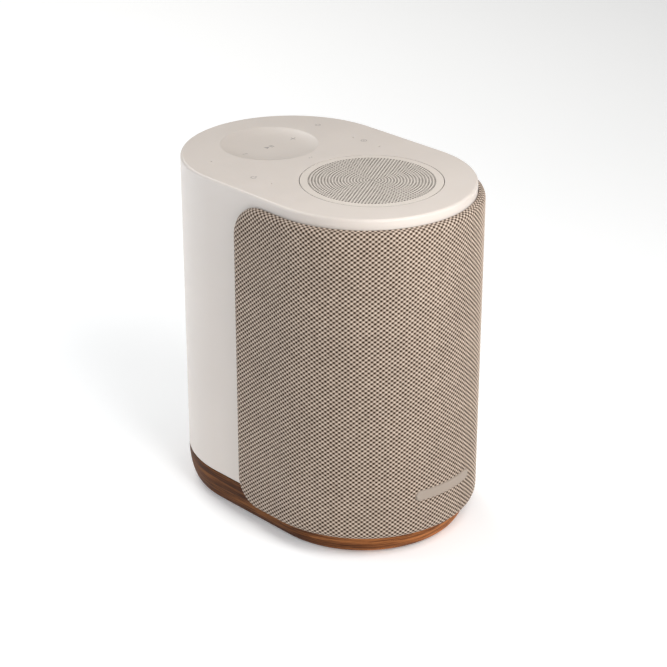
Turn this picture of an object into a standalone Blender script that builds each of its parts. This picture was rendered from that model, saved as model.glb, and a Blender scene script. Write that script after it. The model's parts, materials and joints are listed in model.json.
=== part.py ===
"""Smart speaker: a stadium-shaped cabinet with a fabric front, a wooden base and three drivers.

Metres, +Z up, the front faces -Y, and the origin is the middle of the footprint.
"""

import math

import bmesh
import bpy
from mathutils import Vector

# Cabinet: in plan, two half circles joined by straight sides.
HEIGHT = 0.186
SHELL_RADIUS = 0.057
FRONT_ARC_Y = -0.02465
REAR_ARC_Y = 0.02935
ARC_STEPS = 16
WALL = 0.003
RIM_ROUNDING = 0.001
GAP = 0.0003
CUT_DEPTH = 0.020
SHALLOW_CUT = 0.012

# Wooden base, its rubber foot and the plate that closes the cabinet.
BASE_TOP = 0.01885
BASE_BOTTOM = 0.001
BASE_FOOT_RADIUS = 0.0516
BASE_FLOOR_TOP = 0.0095
BASE_POCKET_RADIUS = 0.049
FOOT_RADIUS = 0.0453
FOOT_HEIGHT = 0.002
SHELL_BOTTOM = BASE_TOP + GAP
BASE_PLATE_TOP = SHELL_BOTTOM + 0.0025
BASE_SCREW_X = 0.030
BASE_SCREW_YS = (-0.030, 0.034)

BASE_SCREW_HOLE_RADIUS = 0.0022
BASE_SCREW_HEAD_RADIUS = 0.0036
BASE_COUNTERBORE_RADIUS = 0.0042
BASE_COUNTERBORE_TOP = 0.0048
BOSS_RADIUS = 0.004
BOSS_PILOT_RADIUS = 0.0018

# Front panel: a moulded lattice with fabric stretched over it.
PANEL_BOTTOM = 0.0113
PANEL_TOP = 0.1807
PANEL_EDGE_Y = 0.008
PANEL_CORNER = 0.0155
FABRIC_RADIUS = 0.061
FABRIC_THICKNESS = 0.0008
FRAME_THICKNESS = 0.0025
FRAME_INSET = 0.0028
LATTICE_WINDOWS = ((0.028, 0.070), (0.076, 0.118), (0.124, 0.166))
LATTICE_RIB_HALF_WIDTH = 0.003
LATTICE_EDGE_Y = -0.006
BADGE_WIDTH = 0.039
BADGE_HEIGHT = 0.0056
BADGE_Z = 0.034
BADGE_THICKNESS = 0.0004
WINDOW_BOTTOM = 0.024
WINDOW_TOP = 0.176
WINDOW_EDGE_Y = 0.002

# Top: a round grille over the upward driver, and a finger dish over the touch sensor.
GRILLE_Y = -0.03005
GRILLE_RADIUS = 0.03615
GRILLE_THICKNESS = 0.0017
GRILLE_LEDGE_RADIUS = 0.0335
GRILLE_HOLE_RADIUS = 0.0024
GRILLE_HOLE_PITCH = 0.0120
GRILLE_HOLE_RINGS = 2
DISH_Y = 0.04565
DISH_RADIUS = 0.0262
DISH_FLOOR_RADIUS = 0.0208
DISH_STEP = 0.0017
DISH_SAG = 0.0005
DISH_BOSS_RADIUS = 0.0280
DISH_BOSS_BOTTOM = 0.1813
MICROPHONES = ((-0.0402, 0.04575), (-0.0394, 0.00115), (0.0377, 0.02150), (0.0379, 0.00210))
MICROPHONE_HOLE_RADIUS = 0.0005

# Acoustic enclosure and its three drivers.
BAFFLE_Y = -0.056
ENCLOSURE_LOW = (-0.048, BAFFLE_Y, BASE_PLATE_TOP + GAP)
ENCLOSURE_HIGH = (0.048, 0.022, 0.176)
ENCLOSURE_CORNER = 0.010
WOOFER_Z = 0.070
WOOFER_HOLE = 0.031
WOOFER_SCREW_CIRCLE = 0.0349
WOOFER_SCREW_HOLE = 0.0014
TWEETER_Z = 0.130
TWEETER_HOLE = 0.0118
TOP_DRIVER_HOLE = 0.0215
GROMMET_Z = 0.048
GROMMET_HOLE = 0.005

# Electronics behind the enclosure.
MAIN_BOARD_LOW = (-0.030, 0.030, 0.060)
MAIN_BOARD_HIGH = (0.030, 0.0316, 0.150)
MAIN_PIN_X = 0.026
MAIN_PIN_ZS = (0.065, 0.145)
POWER_BOARD_LOW = (-0.038, 0.052, 0.076)
POWER_BOARD_HIGH = (0.038, 0.0536, 0.140)
POWER_PIN_X = 0.034
POWER_PIN_ZS = (0.080, 0.136)
PILLAR_RADIUS = 0.003
PIN_RADIUS = 0.0013
PIN_LENGTH = 0.003
PIN_HOLE_RADIUS = 0.0016
SHIELD_LOW = (-0.012, 0.064)
SHIELD_HIGH = (0.012, 0.084)
SHIELD_THICKNESS = 0.003
SINK_LOW = (-0.018, 0.092)
SINK_HIGH = (0.018, 0.132)
SINK_HEIGHT = 0.0125
SINK_FLOOR = 0.0025
SINK_SLOT_WIDTH = 0.0036
SINK_SLOT_PITCH = 0.0054
SINK_SLOTS = 6
TRANSFORMER_LOW = (-0.024, 0.084)
TRANSFORMER_HIGH = (0.0, 0.106)
TRANSFORMER_HEIGHT = 0.017
CAPACITOR_RADIUS = 0.007
CAPACITOR_HEIGHT = 0.020
CAPACITOR_X = 0.016
CAPACITOR_Z = 0.096
TOUCH_BOARD_Z = (0.1769, 0.1781)
TOUCH_BOARD_RADIUS = 0.046
TOUCH_BOARD_FRONT = -0.003
CAPSULE_WIDTH = 0.0034
CAPSULE_HEIGHT = 0.0011
RIBBON_BOTTOM = 0.138
RIBBON_BACK_Y = 0.0330
RIBBON_SWAY = 0.003
RIBBON_HALF_WIDTH = 0.008
RIBBON_HALF_THICKNESS = 0.0002

# Terminal plate at the back, with the mains inlet, an audio jack and the pairing button.
NICHE_HALF_WIDTH = 0.0263
NICHE_BOTTOM = 0.0277
NICHE_TOP = 0.0623
NICHE_CORNER = 0.004
PLATE_FACE_Y = 0.078
TRAY_WALL = 0.0015
INLET_X = -0.008
INLET_Z = 0.042
INLET_HALF_SIZE = (0.0110, 0.0070)
INLET_POCKET_HALF_SIZE = (0.0078, 0.0042)
INLET_BACK_Y = 0.060
INLET_POCKET_BACK_Y = 0.066
INLET_PIN_LENGTH = 0.009
INLET_PIN_SPACING = 0.0086
INLET_PIN_RADIUS = 0.0012
JACK_X = 0.017
JACK_Z = 0.035
JACK_BORE_RADIUS = 0.00185
JACK_NOSE_RADIUS = 0.003
IO_BOARD_Y = (0.062, 0.0636)
BUTTON_Z = 0.052
BUTTON_RADIUS = 0.0035

FORWARDS = (0.0, -1.0, 0.0)
BACKWARDS = (0.0, 1.0, 0.0)
UPWARDS = (0.0, 0.0, 1.0)

# Name: colour, roughness, metallic.
MATERIALS = {
    "white_shell": ((0.80, 0.78, 0.75), 0.42, 0.0),
    "white_grille": ((0.78, 0.75, 0.72), 0.45, 0.0),
    "beige_fabric": ((0.40, 0.31, 0.25), 0.92, 0.0),
    "badge": ((0.47, 0.38, 0.31), 0.60, 0.0),
    "walnut": ((0.24, 0.12, 0.065), 0.48, 0.0),
    "dark_plastic": ((0.025, 0.024, 0.023), 0.60, 0.0),
    "enclosure_plastic": ((0.05, 0.05, 0.052), 0.65, 0.0),
    "foot_rubber": ((0.03, 0.03, 0.03), 0.85, 0.0),
    "soft_rubber": ((0.02, 0.02, 0.02), 0.75, 0.0),
    "wadding": ((0.70, 0.70, 0.66), 0.95, 0.0),
    "cone_paper": ((0.06, 0.06, 0.06), 0.80, 0.0),
    "spider_cloth": ((0.55, 0.36, 0.14), 0.90, 0.0),
    "silk_dome": ((0.08, 0.07, 0.07), 0.70, 0.0),
    "coil_copper": ((0.62, 0.30, 0.16), 0.35, 1.0),
    "magnet_ferrite": ((0.07, 0.07, 0.075), 0.55, 0.3),
    "plated_steel": ((0.55, 0.55, 0.56), 0.35, 1.0),
    "screw_steel": ((0.18, 0.18, 0.19), 0.40, 1.0),
    "aluminium": ((0.70, 0.70, 0.72), 0.40, 1.0),
    "board_green": ((0.02, 0.14, 0.06), 0.50, 0.0),
    "transformer_yellow": ((0.60, 0.48, 0.08), 0.55, 0.0),
    "capacitor_sleeve": ((0.03, 0.05, 0.12), 0.40, 0.0),
    "flex_film": ((0.55, 0.28, 0.06), 0.45, 0.0),
    "wire_jacket": ((0.35, 0.02, 0.02), 0.55, 0.0),
    "brass": ((0.75, 0.56, 0.25), 0.30, 1.0),
}


# ---------------------------------------------------------------- tools

def clear_scene():
    for item in list(bpy.data.objects):
        bpy.data.objects.remove(item, do_unlink=True)


def new_collection(name):
    collection = bpy.data.collections.new(name)
    bpy.context.scene.collection.children.link(collection)
    return collection


def material(name):
    """The named Principled material, made the first time it is asked for."""
    found = bpy.data.materials.get(name)
    if found:
        return found
    colour, roughness, metallic = MATERIALS[name]
    made = bpy.data.materials.new(name)
    made.use_nodes = True
    shader = made.node_tree.nodes["Principled BSDF"]
    shader.inputs["Base Color"].default_value = (*colour, 1.0)
    shader.inputs["Roughness"].default_value = roughness
    shader.inputs["Metallic"].default_value = metallic
    made.diffuse_color = (*colour, 1.0)
    return made


def place(name, mesh, look=None):
    """An object for this mesh: a part where it has a look, and otherwise a cutter."""
    item = bpy.data.objects.new(name, mesh)
    if look:
        PARTS.objects.link(item)
        mesh.materials.append(material(look))
        mesh.shade_smooth()
        mesh.set_sharp_from_angle(angle=math.radians(35))
        return item
    CUTTERS.objects.link(item)
    item.hide_render = True
    item.display_type = "WIRE"
    return item


def mesh_of(bm, name):
    """The finished mesh, with every face pointing out."""
    bmesh.ops.recalc_face_normals(bm, faces=bm.faces)
    if bm.calc_volume(signed=True) < 0:
        bmesh.ops.reverse_faces(bm, faces=bm.faces)
    mesh = bpy.data.meshes.new(name)
    bm.to_mesh(mesh)
    bm.free()
    return mesh


def add_box(bm, low, high):
    made = bmesh.ops.create_cube(bm, size=1.0)["verts"]
    low, high = Vector(low), Vector(high)
    bmesh.ops.scale(bm, vec=high - low, verts=made)
    bmesh.ops.translate(bm, vec=(low + high) / 2, verts=made)
    return made


def box(name, low, high, look=None):
    bm = bmesh.new()
    add_box(bm, low, high)
    return place(name, mesh_of(bm, name), look)


def boxes(name, corners, look=None):
    """Several boxes as one cutter."""
    bm = bmesh.new()
    for low, high in corners:
        add_box(bm, low, high)
    return place(name, mesh_of(bm, name), look)


def upright_rounded_box(name, low, high, corner, look=None):
    """A box whose four upright edges are rounded."""
    bm = bmesh.new()
    add_box(bm, low, high)
    upright = [e for e in bm.edges if abs(e.verts[0].co.z - e.verts[1].co.z) > 1e-6]
    bmesh.ops.bevel(bm, geom=upright, offset=corner, segments=3, profile=0.5, affect="EDGES")
    return place(name, mesh_of(bm, name), look)


def turn_towards(item, direction):
    item.rotation_euler = Vector(direction).to_track_quat("Z", "Y").to_euler()


def cylinders(name, radius, length, centres, direction, steps=16, look=None):
    """Equal cylinders as one object, from each centre along a direction."""
    bm = bmesh.new()
    spin = Vector(direction).to_track_quat("Z", "Y").to_matrix().to_4x4()
    for centre in centres:
        made = bmesh.ops.create_cone(
            bm, cap_ends=True, segments=steps, radius1=radius, radius2=radius, depth=length)["verts"]
        bmesh.ops.transform(bm, matrix=spin, verts=made)
        middle = Vector(centre) + Vector(direction) * length / 2
        bmesh.ops.translate(bm, vec=middle, verts=made)
    return place(name, mesh_of(bm, name), look)


def turned(name, profile, origin, direction, look=None, steps=20, closed=True):
    """A profile of (radius, height) points, clockwise, turned about the direction."""
    mesh = bpy.data.meshes.new(name)
    points = [(radius, 0.0, height) for radius, height in profile]
    edges = [(i, i + 1) for i in range(len(points) - 1)]
    if closed:
        edges.append((len(points) - 1, 0))
    mesh.from_pydata(points, edges, [])
    item = place(name, mesh, look)
    screw = item.modifiers.new("turn", "SCREW")
    screw.steps = steps
    screw.render_steps = steps
    screw.use_merge_vertices = True
    screw.merge_threshold = 0.00001
    screw.use_smooth_shade = True
    item.location = origin
    turn_towards(item, direction)
    return item


def stadium_ring(bm, radius, z):
    """One ring of points round the stadium of this radius."""
    ring = []
    for centre_y, start in ((FRONT_ARC_Y, math.pi), (REAR_ARC_Y, 0.0)):
        for i in range(ARC_STEPS + 1):
            angle = start + math.pi * i / ARC_STEPS
            ring.append(bm.verts.new((radius * math.cos(angle), centre_y + radius * math.sin(angle), z)))
    return ring


def stadium_loft(name, profile, look=None, closed=False):
    """A loft through stadiums of (radius, height). Open ends are capped."""
    bm = bmesh.new()
    rings = [stadium_ring(bm, radius, z) for radius, z in profile]
    pairs = list(zip(rings, rings[1:]))
    if closed:
        pairs.append((rings[-1], rings[0]))
    else:
        bm.faces.new(rings[0])
        bm.faces.new(rings[-1])
    for lower, upper in pairs:
        for i in range(len(lower)):
            j = (i + 1) % len(lower)
            bm.faces.new((lower[i], lower[j], upper[j], upper[i]))
    return place(name, mesh_of(bm, name), look)


def rounded_outline(low, high, corner, steps=5):
    """Corner points of a rounded rectangle, anticlockwise."""
    points = []
    corners = ((high[0], high[1], 0), (low[0], high[1], 1), (low[0], low[1], 2), (high[0], low[1], 3))
    for x, y, quarter in corners:
        centre_x = x + (-corner if x == high[0] else corner)
        centre_y = y + (-corner if y == high[1] else corner)
        for i in range(steps + 1):
            angle = math.pi / 2 * (quarter + i / steps)
            points.append((centre_x + corner * math.cos(angle), centre_y + corner * math.sin(angle)))
    return points


def prism(name, outline, start, end, axis, look=None):
    """A flat outline as a filled curve, extruded from start to end along X, Y or Z."""
    curve = bpy.data.curves.new(name, "CURVE")
    curve.dimensions = "2D"
    curve.fill_mode = "BOTH"
    curve.extrude = (end - start) / 2
    spline = curve.splines.new("POLY")
    spline.points.add(len(outline) - 1)
    for point, (u, v) in zip(spline.points, outline):
        point.co = (u, v, 0.0, 1.0)
    spline.use_cyclic_u = True
    source = bpy.data.objects.new(name + "_curve", curve)
    bpy.context.scene.collection.objects.link(source)
    bpy.context.view_layer.update()
    mesh = bpy.data.meshes.new_from_object(source.evaluated_get(bpy.context.evaluated_depsgraph_get()))
    bpy.data.objects.remove(source, do_unlink=True)
    bm = bmesh.new()
    bm.from_mesh(mesh)
    bpy.data.meshes.remove(mesh)
    bmesh.ops.remove_doubles(bm, verts=bm.verts, dist=0.00001)
    middle = (start + end) / 2
    for vert in bm.verts:
        u, v, along = vert.co
        along += middle
        vert.co = {"X": (along, u, v), "Y": (u, along, v), "Z": (u, v, along)}[axis]
    return place(name, mesh_of(bm, name), look)


def smooth_route(points, steps=3):
    """Points read from a smooth curve through the given ones."""
    given = [Vector(p) for p in points]
    padded = [2 * given[0] - given[1], *given, 2 * given[-1] - given[-2]]
    route = []
    for before, a, b, after in zip(padded, padded[1:], padded[2:], padded[3:]):
        for i in range(steps):
            t = i / steps
            route.append(0.5 * (2 * a + (b - before) * t + (2 * before - 5 * a + 4 * b - after) * t * t
                                + (3 * a - before - 3 * b + after) * t ** 3))
    return [*route, given[-1]]


def wire(name, points, radius, look):
    """A round lead along a smooth route."""
    curve = bpy.data.curves.new(name, "CURVE")
    curve.dimensions = "3D"
    curve.bevel_depth = radius
    curve.bevel_resolution = 1
    curve.use_fill_caps = True
    route = smooth_route(points)
    spline = curve.splines.new("POLY")
    spline.points.add(len(route) - 1)
    for point, place_on_route in zip(spline.points, route):
        point.co = (*place_on_route, 1.0)
    item = bpy.data.objects.new(name, curve)
    curve.materials.append(material(look))
    PARTS.objects.link(item)
    return item


def boolean(target, other, operation):
    modifier = target.modifiers.new(other.name, "BOOLEAN")
    modifier.operation = operation
    modifier.solver = "EXACT"
    modifier.object = other
    return target


def cut(target, *cutters):
    for cutter in cutters:
        boolean(target, cutter, "DIFFERENCE")


def join(target, *others):
    for other in others:
        boolean(target, other, "UNION")


def keep_inside(target, cutter):
    boolean(target, cutter, "INTERSECT")


# ---------------------------------------------------------------- cabinet

def dish_profile():
    """The finger dish as a cutter: a soft rim, a short slope and a floor that sags a little."""
    lift = 0.00002
    clear = 0.004
    steps = 5
    points = [(0.0, clear), (DISH_RADIUS, clear)]
    radii = [DISH_RADIUS + (DISH_FLOOR_RADIUS - DISH_RADIUS) * i / steps for i in range(steps + 1)]
    for radius in (*radii, DISH_FLOOR_RADIUS * 0.65, DISH_FLOOR_RADIUS * 0.33, 0.0):
        share = max(0.0, (radius - DISH_FLOOR_RADIUS) / (DISH_RADIUS - DISH_FLOOR_RADIUS))
        slope = DISH_STEP * 0.5 * (1 + math.cos(math.pi * share))
        sag = DISH_SAG * (1 - (radius / DISH_RADIUS) ** 2) ** 2
        points.append((radius, lift - slope - sag))
    return points


def make_cabinet_shell():
    inner = SHELL_RADIUS - WALL
    shoulder = SHELL_RADIUS - RIM_ROUNDING
    bulge = RIM_ROUNDING * (1 - math.sqrt(0.5))
    shell = stadium_loft("cabinet_shell", [
        (inner, HEIGHT - WALL), (inner, SHELL_BOTTOM), (SHELL_RADIUS, SHELL_BOTTOM),
        (SHELL_RADIUS, HEIGHT - RIM_ROUNDING), (SHELL_RADIUS - bulge, HEIGHT - bulge), (shoulder, HEIGHT),
    ], "white_shell")
    join(shell, cylinders("dish_boss", DISH_BOSS_RADIUS, HEIGHT - WALL / 2 - DISH_BOSS_BOTTOM,
                          [(0, DISH_Y, DISH_BOSS_BOTTOM)], UPWARDS, 20))
    window = rounded_outline((-0.100, WINDOW_BOTTOM), (WINDOW_EDGE_Y, WINDOW_TOP), 0.008)
    niche = rounded_outline((-NICHE_HALF_WIDTH, NICHE_BOTTOM), (NICHE_HALF_WIDTH, NICHE_TOP), NICHE_CORNER)
    microphone_centres = [(x, y, HEIGHT - CUT_DEPTH / 2) for x, y in MICROPHONES]
    cut(shell,
        turned("dish_cutter", dish_profile(), (0, DISH_Y, HEIGHT), UPWARDS, steps=24, closed=False),
        prism("front_window_cutter", window, -0.080, 0.080, "X"),
        cylinders("grille_seat_cutter", GRILLE_RADIUS + GAP, CUT_DEPTH,
                  [(0, GRILLE_Y, HEIGHT - GRILLE_THICKNESS - GAP)], UPWARDS, 36),
        cylinders("grille_throat_cutter", GRILLE_LEDGE_RADIUS, CUT_DEPTH,
                  [(0, GRILLE_Y, HEIGHT - CUT_DEPTH / 2)], UPWARDS, 36),
        cylinders("microphone_cutter", MICROPHONE_HOLE_RADIUS, CUT_DEPTH, microphone_centres, UPWARDS, 6),
        prism("niche_cutter", niche, 0.060, 0.100, "Y"))


def make_top_grille():
    """A round cover with rings of holes, six more in each ring."""
    grille = cylinders("top_grille", GRILLE_RADIUS, GRILLE_THICKNESS,
                       [(0, GRILLE_Y, HEIGHT - GRILLE_THICKNESS)], UPWARDS, 36, "white_grille")
    bottom = HEIGHT - CUT_DEPTH / 2
    centres = [(0, GRILLE_Y, bottom)]
    for ring in range(1, GRILLE_HOLE_RINGS + 1):
        for i in range(6 * ring):
            angle = math.tau * i / (6 * ring)
            x = ring * GRILLE_HOLE_PITCH * math.cos(angle)
            y = ring * GRILLE_HOLE_PITCH * math.sin(angle)
            centres.append((x, GRILLE_Y + y, bottom))
    cut(grille, cylinders("grille_hole_cutter", GRILLE_HOLE_RADIUS, CUT_DEPTH, centres, UPWARDS, 8))


def curved_panel(name, inner, outer, inset, look):
    """A skin round the front of the cabinet with rounded rear corners."""
    low, high = PANEL_BOTTOM + inset, PANEL_TOP - inset
    panel = stadium_loft(name, [(inner, low), (outer, low), (outer, high), (inner, high)], look, True)
    edge = rounded_outline((-0.150, low - 0.00001), (PANEL_EDGE_Y - inset, high + 0.00001), PANEL_CORNER)
    keep_inside(panel, prism(name + "_edge", edge, -0.080, 0.080, "X"))
    return panel


def make_front_panel():
    """The lattice, the fabric over it and the plain bar at the foot of the fabric."""
    fabric_inner = FABRIC_RADIUS - FABRIC_THICKNESS
    frame_outer = fabric_inner - GAP
    frame = curved_panel("front_grille_frame", frame_outer - FRAME_THICKNESS, frame_outer, FRAME_INSET,
                         "dark_plastic")
    openings = []
    for side in (-1, 1):
        for low, high in LATTICE_WINDOWS:
            near, far = sorted((side * LATTICE_RIB_HALF_WIDTH, side * (FABRIC_RADIUS + GAP)))
            openings.append(((near, -0.100, low), (far, LATTICE_EDGE_Y, high)))
    cut(frame, boxes("frame_opening_cutter", openings))
    curved_panel("front_fabric", fabric_inner, FABRIC_RADIUS, 0.0, "beige_fabric")

    low, high = BADGE_Z - BADGE_HEIGHT / 2, BADGE_Z + BADGE_HEIGHT / 2
    inner = FABRIC_RADIUS + GAP
    outer = inner + BADGE_THICKNESS
    badge = stadium_loft("front_badge", [
        (inner, low - 0.001), (outer, low - 0.001), (outer, high + 0.001), (inner, high + 0.001),
    ], "badge", True)
    outline = rounded_outline((-BADGE_WIDTH / 2, low), (BADGE_WIDTH / 2, high), BADGE_HEIGHT * 0.49)
    keep_inside(badge, prism("badge_outline", outline, -0.100, -0.060, "Y"))


# ---------------------------------------------------------------- base

def base_screw_places(z):
    return [(x, y, z) for x in (-BASE_SCREW_X, BASE_SCREW_X) for y in BASE_SCREW_YS]


def make_wood_base():
    """A bowl-sided block with a pocket on top and a shallow recess for the foot."""
    steps = 4
    sweep = math.radians(80)
    side = []
    for i in range(steps + 1):
        angle = sweep * i / steps
        radius = BASE_FOOT_RADIUS + (SHELL_RADIUS - BASE_FOOT_RADIUS) * math.cos(angle)
        side.append((radius, BASE_TOP - (BASE_TOP - BASE_BOTTOM) * math.sin(angle) / math.sin(sweep)))
    recess = FOOT_HEIGHT + GAP
    base = stadium_loft("wood_base", [
        (BASE_POCKET_RADIUS, BASE_FLOOR_TOP), (BASE_POCKET_RADIUS, BASE_TOP), *side,
        (FOOT_RADIUS + GAP, BASE_BOTTOM), (FOOT_RADIUS + GAP, recess),
    ], "walnut")
    cut(base,
        cylinders("base_hole_cutter", BASE_SCREW_HOLE_RADIUS, BASE_FLOOR_TOP + 0.001,
                  base_screw_places(0.0), UPWARDS, 8),
        cylinders("base_counterbore_cutter", BASE_COUNTERBORE_RADIUS, BASE_COUNTERBORE_TOP,
                  base_screw_places(0.0), UPWARDS, 10))


def make_base_screws():
    head = BASE_SCREW_HEAD_RADIUS
    profile = [(0, 0.0154), (0.0015, 0.0154), (0.0015, 0.0019), (head, 0.0019), (head, 0.0004),
               (head - 0.0004, 0), (0, 0)]
    for number, centre in enumerate(base_screw_places(FOOT_HEIGHT + 0.0006), 1):
        turned(f"base_screw_{number}", profile, centre, UPWARDS, "screw_steel", 10, False)


def make_base_plate():
    """The cabinet's floor, with a boss for each base screw."""
    radius = SHELL_RADIUS - WALL - GAP * 2
    plate = stadium_loft("base_plate", [(radius, SHELL_BOTTOM), (radius, BASE_PLATE_TOP)],
                         "enclosure_plastic")
    boss_bottom = BASE_FLOOR_TOP + GAP
    boss_height = SHELL_BOTTOM + 0.001 - boss_bottom
    join(plate, cylinders("boss_shape", BOSS_RADIUS, boss_height, base_screw_places(boss_bottom), UPWARDS, 8))
    cut(plate, cylinders("boss_pilot_cutter", BOSS_PILOT_RADIUS, boss_height,
                         base_screw_places(boss_bottom - 0.001), UPWARDS, 8))


def make_rubber_foot():
    stadium_loft("rubber_foot", [(FOOT_RADIUS, 0.0), (FOOT_RADIUS, FOOT_HEIGHT)], "foot_rubber")


# ---------------------------------------------------------------- enclosure

def pin_places(x, heights, y):
    return [(side * x, y, z) for side in (-1, 1) for z in heights]


def woofer_screw_places(y):
    reach = WOOFER_SCREW_CIRCLE * math.sqrt(0.5)
    return [(sx * reach, y, WOOFER_Z + sz * reach) for sx in (-1, 1) for sz in (-1, 1)]


def make_enclosure():
    """The closed box behind the drivers, with pillars that carry the circuit boards."""
    enclosure = upright_rounded_box(
        "acoustic_enclosure", ENCLOSURE_LOW, ENCLOSURE_HIGH, ENCLOSURE_CORNER, "enclosure_plastic")
    root_y = ENCLOSURE_HIGH[1] - 0.001
    main_face = MAIN_BOARD_LOW[1] - GAP
    power_face = POWER_BOARD_LOW[1] - GAP
    main = pin_places(MAIN_PIN_X, MAIN_PIN_ZS, root_y)
    power = pin_places(POWER_PIN_X, POWER_PIN_ZS, root_y)
    join(enclosure,
         cylinders("main_pillar", PILLAR_RADIUS, main_face - root_y, main, BACKWARDS, 8),
         cylinders("main_pin", PIN_RADIUS, main_face + PIN_LENGTH - root_y, main, BACKWARDS, 6),
         cylinders("power_pillar", PILLAR_RADIUS, power_face - root_y, power, BACKWARDS, 8),
         cylinders("power_pin", PIN_RADIUS, power_face + PIN_LENGTH - root_y, power, BACKWARDS, 6))
    low = [v + WALL for v in ENCLOSURE_LOW]
    high = [v - WALL for v in ENCLOSURE_HIGH]
    depth = SHALLOW_CUT
    front = BAFFLE_Y + depth / 2
    top = ENCLOSURE_HIGH[2] - depth / 2
    back = ENCLOSURE_HIGH[1] - depth / 2
    cut(enclosure,
        upright_rounded_box("enclosure_cavity_cutter", low, high, ENCLOSURE_CORNER - WALL),
        cylinders("woofer_hole_cutter", WOOFER_HOLE, depth, [(0, front, WOOFER_Z)], FORWARDS, 24),
        cylinders("tweeter_hole_cutter", TWEETER_HOLE, depth, [(0, front, TWEETER_Z)], FORWARDS, 20),
        cylinders("top_hole_cutter", TOP_DRIVER_HOLE, depth, [(0, GRILLE_Y, top)], UPWARDS, 24),
        cylinders("grommet_hole_cutter", GROMMET_HOLE, depth, [(0, back, GROMMET_Z)], BACKWARDS, 16),
        cylinders("woofer_pilot_cutter", WOOFER_SCREW_HOLE, depth, woofer_screw_places(front), FORWARDS, 6))


def make_damping_pad():
    """A pad of wadding against the back wall of the enclosure."""
    upright_rounded_box("damping_pad", (-0.038, 0.008, 0.058), (0.038, 0.0185, 0.150), 0.004, "wadding")


def make_grommet():
    turned("wire_grommet", [
        (0.007, 0.0018), (0.007, 0.0003), (0.0047, 0.0003), (0.0047, -0.0033),
        (0.007, -0.0033), (0.007, -0.0048), (0.003, -0.0048), (0.003, 0.0018),
    ], (0, ENCLOSURE_HIGH[1], GROMMET_Z), BACKWARDS, "soft_rubber", 16)


# ---------------------------------------------------------------- drivers

def arc(centre, radius, start, end, steps=4):
    """Points on a circle between two angles in degrees."""
    points = []
    for i in range(steps + 1):
        angle = math.radians(start + (end - start) * i / steps)
        points.append((centre[0] + radius * math.cos(angle), centre[1] + radius * math.sin(angle)))
    return points


def dome_profile(radius, base, rise, thickness, steps=3):
    """A thin dome: its outer side from the crown to the rim, then its inner side back."""
    outer = []
    inner = []
    for i in range(steps + 1):
        angle = math.pi / 2 * (1 - i / steps)
        outer.append((radius * math.cos(angle), base + thickness + rise * math.sin(angle)))
        inner.append(((radius - thickness) * math.cos(angle), base + rise * math.sin(angle)))
    outer[0] = (0.0, outer[0][1])
    inner[0] = (0.0, inner[0][1])
    return [*outer, (radius, base), *reversed(inner)]


def make_driver(prefix, origin, direction, hole):
    """A moving-coil driver. Heights are measured outwards from the face that it is fixed to."""
    s = hole / WOOFER_HOLE
    mm = 0.001 * s
    thin = 0.0003

    basket = turned(prefix + "_basket", [
        (36.9 * mm, 0.0023), (36.9 * mm, GAP), (30.3 * mm, GAP), (30.3 * mm, -4 * mm), (16 * mm, -22 * mm),
        (16 * mm, -24 * mm), (9 * mm, -24 * mm), (9 * mm, -22.2 * mm), (14.2 * mm, -22.2 * mm),
        (28.3 * mm, -3.6 * mm), (28.3 * mm, 0.0023),
    ], origin, direction, "dark_plastic")
    across = boxes(prefix + "_basket_vents", [
        ((-35 * mm, -5 * mm, -17 * mm), (35 * mm, 5 * mm, -8 * mm)),
    ])
    along = boxes(prefix + "_basket_side_vents", [
        ((-5 * mm, -35 * mm, -17 * mm), (5 * mm, 35 * mm, -8 * mm)),
    ])
    for vents in (across, along):
        vents.location = origin
        turn_towards(vents, direction)
    cut(basket, across, along)

    back = -24 * mm - GAP
    turned(prefix + "_magnet", [(17 * mm, back), (17 * mm, -34 * mm), (10 * mm, -34 * mm), (10 * mm, back)],
           origin, direction, "magnet_ferrite")
    turned(prefix + "_yoke", [
        (0, -21 * mm), (5.6 * mm, -21 * mm), (5.6 * mm, -34 * mm - GAP), (17 * mm, -34 * mm - GAP),
        (17 * mm, -37.5 * mm), (0, -37.5 * mm),
    ], origin, direction, "plated_steel", closed=False)
    turned(prefix + "_spider", [
        (18.6 * mm, -14.8 * mm), (18.6 * mm, -15.4 * mm), (15 * mm, -14.9 * mm), (11.5 * mm, -15.4 * mm),
        (8 * mm, -14.9 * mm), (8 * mm, -14.3 * mm), (11.5 * mm, -14.8 * mm), (15 * mm, -14.3 * mm),
    ], origin, direction, "spider_cloth")
    roll = (26.6 * mm, 0.0026)
    turned(prefix + "_surround", [
        (33 * mm, 0.0032), (33 * mm, 0.0026), *arc(roll, 1.7 * mm, 0, 180), *arc(roll, 2.3 * mm, 180, 20),
        (29.4 * mm, 0.0032),
    ], origin, direction, "soft_rubber")

    turned(prefix + "_cone", [
        (24 * mm, 1.5 * mm + thin), (24 * mm, 1.5 * mm - thin), (7.9 * mm, -9 * mm - thin),
        (7.9 * mm, -9 * mm + thin),
    ], origin, direction, "cone_paper")
    turned(prefix + "_dust_cap", dome_profile(8.8 * mm, -7.4 * mm, 3 * mm, 0.0005),
           origin, direction, "cone_paper", closed=False)
    turned(prefix + "_voice_coil", [
        (7.3 * mm, -9.6 * mm), (7.3 * mm, -28 * mm), (6.5 * mm, -28 * mm), (6.5 * mm, -9.6 * mm),
    ], origin, direction, "coil_copper")
    return basket


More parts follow.
